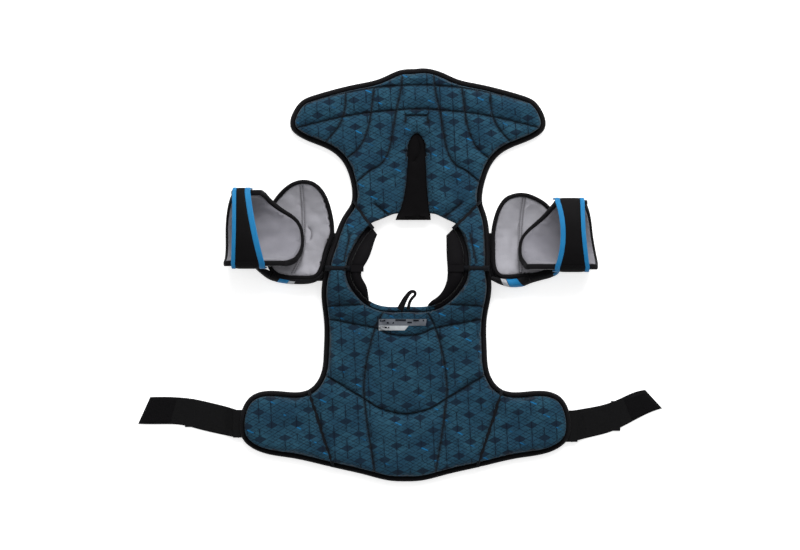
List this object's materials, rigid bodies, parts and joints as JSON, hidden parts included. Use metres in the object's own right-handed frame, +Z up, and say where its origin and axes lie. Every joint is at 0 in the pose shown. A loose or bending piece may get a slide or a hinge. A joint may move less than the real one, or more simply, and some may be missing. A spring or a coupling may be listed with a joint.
{
  "type": "hockey shoulder pads",
  "caption": "Padded torso vest lying opened out, with shoulder caps, bicep guards, arm bands and hook-tipped waist straps.",
  "frame": {"origin": "middle of the pads' outline, on the surface that they lie on", "axes": "+X across the pads and along the opened waist straps, +Y towards the chest panel's hem, +Z up out of the liner"},
  "size_m": [0.789, 0.6215, 0.0921],
  "materials": {
    "printed_liner": "matte printed knit",
    "cover_fabric": "matte woven nylon",
    "binding_tape": "matte ribbed tape",
    "hard_plastic": "moulded, fine grain",
    "blue_trim": "satin tape",
    "mesh_liner": "spacer mesh",
    "neoprene": "smooth stretch",
    "elastic": "ribbed elastic",
    "hook_tape": "hook tape",
    "stretch_knit": "stretch knit",
    "label_film": "woven label",
    "loop_tape": "loop pile"
  },
  "bodies": {
    "back": {"back_liner_pad": "printed_liner", "back_outer_cover": "cover_fabric", "back_edge_binding": "binding_tape", "spine_plate": "hard_plastic", "hanger_loop": "stretch_knit", "size_label": "label_film", "left_collar_guard_lower": "stretch_knit", "right_collar_guard_lower": "stretch_knit"},
    "shoulders": {"left_yoke_liner_pad": "printed_liner", "left_yoke_outer_cover": "cover_fabric", "left_yoke_edge_binding": "binding_tape", "right_yoke_liner_pad": "printed_liner", "right_yoke_outer_cover": "cover_fabric", "right_yoke_edge_binding": "binding_tape", "left_collar_guard_upper": "stretch_knit", "right_collar_guard_upper": "stretch_knit"},
    "chest": {"chest_liner_pad": "printed_liner", "chest_outer_cover": "cover_fabric", "chest_edge_binding": "binding_tape", "sternum_plate": "hard_plastic", "neck_slit_placket": "stretch_knit", "left_loop_patch": "loop_tape", "right_loop_patch": "loop_tape"},
    "left_wing": {"left_wing_liner_pad": "printed_liner", "left_wing_outer_cover": "cover_fabric", "left_wing_edge_binding": "binding_tape"},
    "left_cap": {"left_cap_shell": "hard_plastic", "left_cap_liner": "mesh_liner", "left_cap_binding": "binding_tape", "left_cap_skirt": "cover_fabric", "left_cap_strap": "elastic", "left_bicep_link": "elastic"},
    "left_bicep": {"left_bicep_shell": "hard_plastic", "left_bicep_liner": "mesh_liner", "left_bicep_binding": "binding_tape", "left_arm_band_anchor": "neoprene"},
    "left_arm_band": {"left_arm_band": "neoprene", "left_arm_band_edging": "blue_trim"},
    "left_waist_strap": {"left_waist_strap": "elastic"},
    "left_strap_tip": {"left_strap_tip": "elastic", "left_strap_hook": "hook_tape"},
    "right_wing": {"right_wing_liner_pad": "printed_liner", "right_wing_outer_cover": "cover_fabric", "right_wing_edge_binding": "binding_tape"},
    "right_cap": {"right_cap_shell": "hard_plastic", "right_cap_liner": "mesh_liner", "right_cap_binding": "binding_tape", "right_cap_skirt": "cover_fabric", "right_cap_strap": "elastic", "right_bicep_link": "elastic"},
    "right_bicep": {"right_bicep_shell": "hard_plastic", "right_bicep_liner": "mesh_liner", "right_bicep_binding": "binding_tape", "right_arm_band_anchor": "neoprene"},
    "right_arm_band": {"right_arm_band": "neoprene", "right_arm_band_edging": "blue_trim"},
    "right_waist_strap": {"right_waist_strap": "elastic"},
    "right_strap_tip": {"right_strap_tip": "elastic", "right_strap_hook": "hook_tape"}
  },
  "joints": [
    {"name": "shoulder_fold", "type": "hinge", "parent": "back", "child": "shoulders", "pos_m": [0.011, 0.01, 0.0582], "axis": [1, 0, 0], "range_deg": [0, 80]},
    {"name": "chest_fold", "type": "hinge", "parent": "shoulders", "child": "chest", "pos_m": [0.022, 0.09, 0.0385], "axis": [1, 0, 0], "range_deg": [0, 75]},
    {"name": "left_wing_fold", "type": "hinge", "parent": "back", "child": "left_wing", "pos_m": [-0.11875, -0.231, 0.0282], "axis": [-0.3052, 0.9523, 0], "range_deg": [0, 60]},
    {"name": "left_cap_fold", "type": "hinge", "parent": "shoulders", "child": "left_cap", "pos_m": [-0.1064, 0.034, 0.0505], "axis": [0.2665, 0.9638, 0], "range_deg": [0, 45]},
    {"name": "left_bicep_fold", "type": "hinge", "parent": "left_cap", "child": "left_bicep", "pos_m": [-0.148, 0.054, 0.036], "axis": [0, 1, 0], "range_deg": [0, 30]},
    {"name": "left_arm_band_open", "type": "hinge", "parent": "left_bicep", "child": "left_arm_band", "pos_m": [-0.00813, 0.01, 0.09909], "axis": [0.9945, 0, 0.1045], "range_deg": [0, 85]},
    {"name": "left_waist_strap_fold", "type": "hinge", "parent": "left_wing", "child": "left_waist_strap", "pos_m": [-0.2422, -0.224, 0.0108], "axis": [0, 1, 0], "range_deg": [0, 80]},
    {"name": "left_strap_tip_fold", "type": "hinge", "parent": "left_waist_strap", "child": "left_strap_tip", "pos_m": [-0.317, -0.212, 0.0027], "axis": [0, 1, 0], "range_deg": [0, 110]},
    {"name": "right_wing_fold", "type": "hinge", "parent": "back", "child": "right_wing", "pos_m": [0.13475, -0.231, 0.0282], "axis": [-0.3052, -0.9523, 0], "range_deg": [0, 60]},
    {"name": "right_cap_fold", "type": "hinge", "parent": "shoulders", "child": "right_cap", "pos_m": [0.1356, 0.023, 0.0505], "axis": [0, -1, 0], "range_deg": [0, 45]},
    {"name": "right_bicep_fold", "type": "hinge", "parent": "right_cap", "child": "right_bicep", "pos_m": [0.181, 0.052, 0.036], "axis": [0, -1, 0], "range_deg": [0, 30]},
    {"name": "right_arm_band_open", "type": "hinge", "parent": "right_bicep", "child": "right_arm_band", "pos_m": [0.00777, 0.005, 0.09736], "axis": [0.9945, 0, -0.1045], "range_deg": [0, 85]},
    {"name": "right_waist_strap_fold", "type": "hinge", "parent": "right_wing", "child": "right_waist_strap", "pos_m": [0.2582, -0.228, 0.0108], "axis": [0, -1, 0], "range_deg": [0, 80]},
    {"name": "right_strap_tip_fold", "type": "hinge", "parent": "right_waist_strap", "child": "right_strap_tip", "pos_m": [0.325, -0.213, 0.0027], "axis": [0, -1, 0], "range_deg": [0, 110]}
  ]
}
